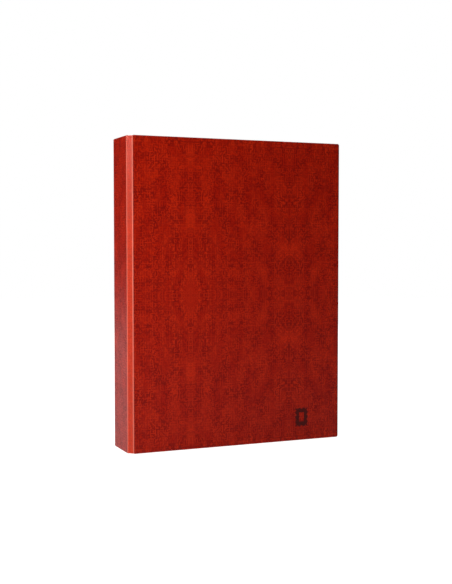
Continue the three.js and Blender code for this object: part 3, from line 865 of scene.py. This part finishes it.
plate = dress(plate_piece(), STEEL_PLATE)
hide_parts("ring_plate")
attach(plate, "back_cover")
for ring, z in zip(RING_NAMES, RING_Z):
    straight, curved = ring_halves(ring, z)
    for piece, node, body in ((straight, f"{ring}_straight_half", "ring_jaw_straight"),
                              (curved, f"{ring}_curved_half", "ring_jaw_curved")):
        dress(piece, STEEL_WIRE)
        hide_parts(node)
        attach(piece, body)
for blade in ("ring_blade_spine_side", "ring_blade_leaf_side"):
    dress(frame["nodes"][blade], STEEL_PLATE)
for level in ("lower", "upper"):
    rivet = dress(rivet_piece(f"rivet_{level}_domed", f"rivet_{level}"), STEEL_RIVET)
    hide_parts(f"rivet_{level}")
    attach(rivet, "back_cover")
    lever = lever_piece(f"lever_{level}_tab", f"lever_{level}_press", 1 if level == "upper" else -1)
    dress(lever, STEEL_PLATE)
    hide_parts(f"lever_{level}")
    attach(lever, f"lever_{level}")


# --- The leaves: one card and one set of clear strips, shared by all of them ----------------------
LEAF_LOW, LEAF_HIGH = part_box("leaf_01_card")
STRIPS_LOW, STRIPS_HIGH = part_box("leaf_01_pockets")
LEAF_COUNT = 12
CARD_CORNER = 2 * MM
CARD_BEVEL = 0.06 * MM
SLOT_RADIUS = 3 * MM
SLOT_LOW, SLOT_HIGH = POST_X - 2.5 * MM, POST_X + 7.5 * MM
POCKET_COUNT = 8
POCKET_PITCH, POCKET_HEIGHT = 35 * MM, 30 * MM
FIRST_POCKET = STRIPS_LOW.z + 4 * MM


def card_data(name):
    """The mesh of the punched card with rounded corners, its edges just broken."""
    curve = bpy.data.curves.new(name, "CURVE")
    curve.dimensions = "2D"
    curve.fill_mode = "BOTH"
    curve.bevel_depth = CARD_BEVEL
    curve.extrude = (LEAF_HIGH.y - LEAF_LOW.y) / 2 - CARD_BEVEL
    curve.offset = -CARD_BEVEL

    def outline(points):
        spline = curve.splines.new("POLY")
        spline.points.add(len(points) - 1)
        for target, (x, z) in zip(spline.points, points):
            target.co = (x, z, 0, 1)
        spline.use_cyclic_u = True

    def turn(x, z, radius, first, last, steps):
        return [(x + radius * math.cos(a), z + radius * math.sin(a))
                for a in (first + (last - first) * step / steps for step in range(steps + 1))]

    quarter = math.pi / 2
    x0, x1 = LEAF_LOW.x + CARD_CORNER, LEAF_HIGH.x - CARD_CORNER
    z0, z1 = LEAF_LOW.z + CARD_CORNER, LEAF_HIGH.z - CARD_CORNER
    corners = ((x1, z0, -1), (x1, z1, 0), (x0, z1, 1), (x0, z0, 2))
    outline([p for x, z, n in corners
             for p in turn(x, z, CARD_CORNER, n * quarter, (n + 1) * quarter, 6)])
    near, far = SLOT_LOW + SLOT_RADIUS, SLOT_HIGH - SLOT_RADIUS
    for z in RING_Z:
        outline(turn(far, z, SLOT_RADIUS, -quarter, quarter, 12)
                + turn(near, z, SLOT_RADIUS, quarter, 3 * quarter, 12))
    flat = bpy.data.objects.new(name, curve)
    bpy.context.scene.collection.objects.link(flat)
    bpy.context.view_layer.update()
    data = bpy.data.meshes.new_from_object(flat)
    bpy.data.objects.remove(flat)
    for vertex in data.vertices:
        x, z, y = vertex.co
        vertex.co = (x, (LEAF_LOW.y + LEAF_HIGH.y) / 2 - y, z)
    data.name = name
    return data


def strips_data(name):
    """The mesh of eight clear strips, welded along their feet and ends, each a little proud."""
    across = 14
    rises = (0, 0.05, 0.11, 0.35, 0.7, 0.97, 1)  # places up a strip, close together at its foot
    up = len(rises) - 1
    film = 0.08 * MM
    points, faces = [], []
    for strip in range(POCKET_COUNT):
        start = len(points)
        low = FIRST_POCKET + strip * POCKET_PITCH
        for rise in rises:
            for i in range(across + 1):
                t = i / across
                share = smoothstep(0, 0.12, min(t, 1 - t)) * smoothstep(0.05, 0.5, rise)
                wave = 0.5 + 0.5 * math.sin(3.1 * math.pi * t + 1.3 * strip)
                stand = (0.09 + (0.14 + 0.07 * wave) * share) * MM
                x = STRIPS_LOW.x + (STRIPS_HIGH.x - STRIPS_LOW.x) * t
                points.append((x, LEAF_LOW.y - stand, low + POCKET_HEIGHT * rise))
        row = across + 1
        for j in range(up):
            for i in range(across):
                a = start + j * row + i
                faces.append((a, a + 1, a + 1 + row, a + row))
    piece = make_mesh(name, points, faces)
    modify(piece, "SOLIDIFY", thickness=film, offset=-1)
    data = piece.data
    bpy.data.objects.remove(piece)
    return data


CARD_DATA = card_data("leaf_card")
CARD_DATA.materials.append(CARD)
STRIPS_DATA = strips_data("leaf_strips")
STRIPS_DATA.materials.append(FILM)
for number in range(1, LEAF_COUNT + 1):
    leaf = f"leaf_{number:02d}"
    for data, piece_name, node, slot in (
            (CARD_DATA, f"{leaf}_card_punched", f"{leaf}_card", "leaf_card"),
            (STRIPS_DATA, f"{leaf}_strips", f"{leaf}_pockets", "pocket_film")):
        piece = bpy.data.objects.new(piece_name, data)
        bpy.context.scene.collection.objects.link(piece)
        piece.location = (0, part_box(f"{leaf}_card")[0].y - LEAF_LOW.y, 0)
        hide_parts(node)
        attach(piece, leaf if leaf in frame["bodies"] else "back_cover")


# --- Stage: a pale floor, a white room, soft lights and the camera --------------------------------
def floor(name, level, tone, glow, **unseen):
    """A pale disc. The one that the camera sees stays clean, and the one that the album mirrors is
    as dim as a real studio floor."""
    radius, sides = 3.0, 96
    points = [(radius * math.cos(2 * math.pi * n / sides), radius * math.sin(2 * math.pi * n / sides),
               level) for n in range(sides)]
    piece = make_mesh(name, points, [tuple(range(sides))], smooth=False)
    g = Graph(f"{name}_paint", Roughness=0.9, Specular_IOR_Level=0.1, Emission_Strength=glow)
    g.colour((tone, tone, tone, 1))
    g.shader.inputs["Emission Color"].default_value = (1, 1, 1, 1)
    piece.data.materials.append(g.material)
    for ray in unseen:
        setattr(piece, f"visible_{ray}", False)


def softbox(name, place, size, power, aim=(0, 0, 0.16)):
    """A rectangular light that the camera doesn't see; it faces the album's middle unless aimed."""
    data = bpy.data.lights.new(name, "AREA")
    data.shape = "RECTANGLE"
    data.size, data.size_y = size
    data.energy = power
    light = bpy.data.objects.new(name, data)
    light.location = place
    light.visible_camera = False
    direction = Vector(aim) - Vector(place)
    light.rotation_euler = direction.to_track_quat("-Z", "Y").to_euler()
    bpy.context.scene.collection.objects.link(light)


def room():
    """White to the camera, and dimmer as a light, so that the covers keep their depth."""
    world = bpy.data.worlds.new("room")
    world.use_nodes = True
    tree = world.node_tree
    background = tree.nodes["Background"]
    path = tree.nodes.new("ShaderNodeLightPath")
    place = tree.nodes.new("ShaderNodeTexCoord")
    split = tree.nodes.new("ShaderNodeSeparateXYZ")
    overhead = tree.nodes.new("ShaderNodeMapRange")
    overhead.interpolation_type = "SMOOTHSTEP"
    for key, value in (("From Min", 0.25), ("From Max", 0.95), ("To Min", 0.01), ("To Max", 0.3)):
        overhead.inputs[key].default_value = value
    seen = tree.nodes.new("ShaderNodeMix")
    seen.inputs["B"].default_value = 1.0
    tree.links.new(place.outputs["Generated"], split.inputs[0])
    tree.links.new(split.outputs["Z"], overhead.inputs["Value"])
    tree.links.new(overhead.outputs[0], seen.inputs["A"])
    tree.links.new(path.outputs["Is Camera Ray"], seen.inputs["Factor"])
    tree.links.new(seen.outputs[0], background.inputs["Strength"])
    background.inputs["Color"].default_value = (1, 1, 1, 1)
    bpy.context.scene.world = world


floor("floor", 0, 0.25, 0.97, diffuse=False, glossy=False, transmission=False, shadow=False)
floor("floor_mirrored", -0.002, 0.8, 0.18, camera=False)
room()
softbox("key", (-0.5, -0.42, 0.33), (0.3, 0.4), 2.8)
softbox("left", (-1.3, -0.4, 0.75), (0.4, 0.9), 1.2)
softbox("left_low", (-1.15, -0.36, 0.47), (0.16, 0.3), 1.0)
softbox("above", (0.1, 0.1, 1.9), (1.6, 1.6), 3)
softbox("right", (1.4, -1.3, 0.7), (0.8, 0.9), 0.15)
softbox("behind", (-0.5, 1.3, 1.2), (1.0, 0.7), 11, aim=(-0.2, 0.6, 0))
softbox("back_right", (0.9, 1.2, 0.6), (0.6, 0.8), 6)

view = bpy.context.scene.view_settings
view.view_transform = "Standard"
view.look = "None"

CAMERA_PLACE = (-0.4321, -0.9954, 0.2105)
CAMERA_YAW, CAMERA_PITCH = math.radians(23.354), math.radians(2.646)
camera_data = bpy.data.cameras.new("camera")
camera_data.sensor_width = 36
camera_data.lens = 62.63
camera_data.clip_start, camera_data.clip_end = 0.01, 20
camera = bpy.data.objects.new("camera", camera_data)
camera.location = CAMERA_PLACE
camera.rotation_euler = (math.pi / 2 - CAMERA_PITCH, 0, -CAMERA_YAW)
bpy.context.scene.collection.objects.link(camera)
bpy.context.scene.camera = camera
